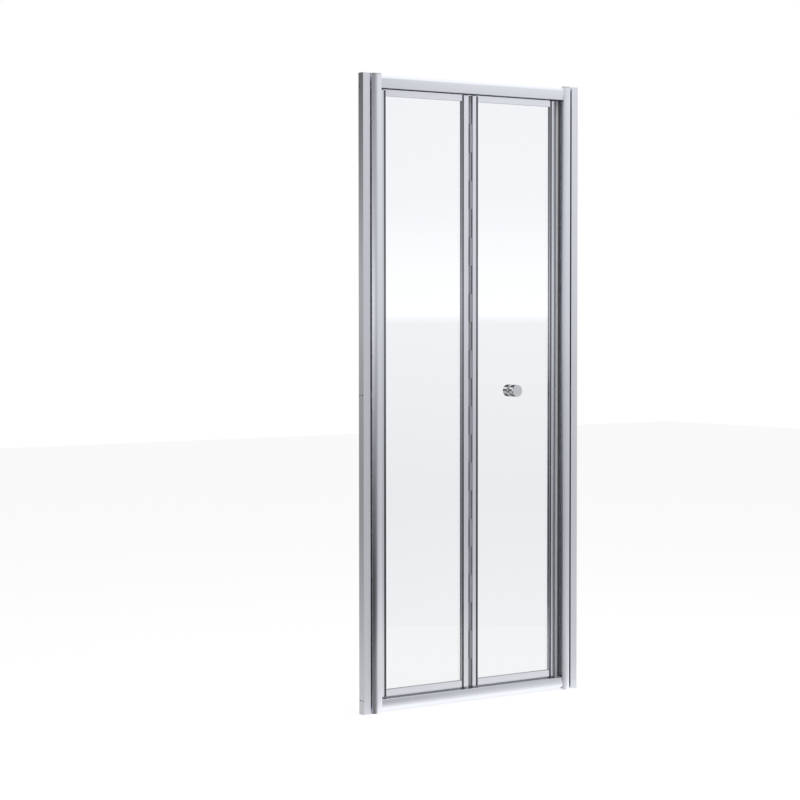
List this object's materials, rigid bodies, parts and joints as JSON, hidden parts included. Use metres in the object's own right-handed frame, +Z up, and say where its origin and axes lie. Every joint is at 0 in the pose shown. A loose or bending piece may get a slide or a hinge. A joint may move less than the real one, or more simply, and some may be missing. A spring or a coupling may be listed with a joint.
{
  "type": "bifold shower door",
  "caption": "Framed bifold shower door for an alcove: hinged clear glass leaves that fold inwards between bowed posts, led by a top and bottom track, with a round knob.",
  "frame": {"origin": "underside of the sill rail at its mid length, on the centre line of the track, which is the line of the pivot pins", "axes": "+Z up, +Y into the enclosure, +X to the right seen from outside"},
  "size_m": [0.808, 0.0647, 1.85],
  "materials": {
    "silver_aluminium": "satin silver anodised",
    "steel": "stainless",
    "chrome": "polished",
    "clear_glass": "clear toughened",
    "seal_rubber": "soft",
    "magnet_strip": "matt",
    "grey_nylon": "matt",
    "hinge_plastic": "satin extruded",
    "white_plastic": "gloss",
    "clear_plastic": "translucent"
  },
  "bodies": {
    "frame": {"wall_channel_left": "silver_aluminium", "wall_channel_right": "silver_aluminium", "post_left": "silver_aluminium", "post_right": "silver_aluminium", "post_caps": "grey_nylon", "head_rail": "silver_aluminium", "sill_rail": "silver_aluminium", "frame_screws": "steel", "adjusting_screws": "steel", "stop_strip_left": "silver_aluminium", "stop_strip_right": "silver_aluminium", "strip_screws": "steel", "screw_caps": "white_plastic", "pivot_block_top": "grey_nylon", "pivot_block_bottom": "grey_nylon", "pivot_block_screws": "steel", "thrust_washer": "steel", "pivot_seal": "seal_rubber", "closing_magnet": "magnet_strip", "post_seal": "seal_rubber", "head_seal": "seal_rubber"},
    "leaf_a": {"pivot_stile": "silver_aluminium", "fold_stile_a": "silver_aluminium", "top_rail_a": "silver_aluminium", "bottom_rail_a": "silver_aluminium", "glass_a": "clear_glass", "gasket_a": "seal_rubber", "end_blocks_a": "grey_nylon", "fold_end_caps_a": "grey_nylon", "pivot_pins": "steel", "wiper_a": "seal_rubber", "hinge_leaf_a": "hinge_plastic", "hinge_pin": "steel", "hinge_screws_a": "steel"},
    "leaf_b": {"closing_stile": "silver_aluminium", "fold_stile_b": "silver_aluminium", "top_rail_b": "silver_aluminium", "bottom_rail_b": "silver_aluminium", "glass_b": "clear_glass", "gasket_b": "seal_rubber", "end_blocks_b": "grey_nylon", "fold_end_caps_b": "grey_nylon", "wiper_b": "seal_rubber", "hinge_leaf_b": "hinge_plastic", "hinge_screws_b": "steel", "leaf_magnet": "magnet_strip", "knob_outer": "chrome", "knob_inner": "chrome", "knob_stud": "steel", "knob_washers": "clear_plastic"},
    "runner": {"guide_shoe_top": "grey_nylon", "guide_shoe_bottom": "grey_nylon", "guide_pins": "steel"}
  },
  "joints": [
    {"name": "leaf_a_pivot", "type": "hinge", "parent": "frame", "child": "leaf_a", "pos_m": [-0.3216, 0, 0.925], "axis": [0, 0, 1], "range_deg": [0, 80]},
    {"name": "fold_hinge", "type": "hinge", "parent": "leaf_a", "child": "leaf_b", "pos_m": [0.0008, -0.0132, 0.925], "axis": [0, 0, 1], "range_deg": [-160, 0]},
    {"name": "runner_swivel", "type": "hinge", "parent": "leaf_b", "child": "runner", "pos_m": [0.3232, 0, 0.925], "axis": [0, 0, 1], "range_deg": [0, 80]}
  ],
  "couplings": [
    {"joint": "fold_hinge", "follows": "leaf_a_pivot", "ratio": -2},
    {"joint": "runner_swivel", "follows": "leaf_a_pivot", "ratio": 1}
  ]
}
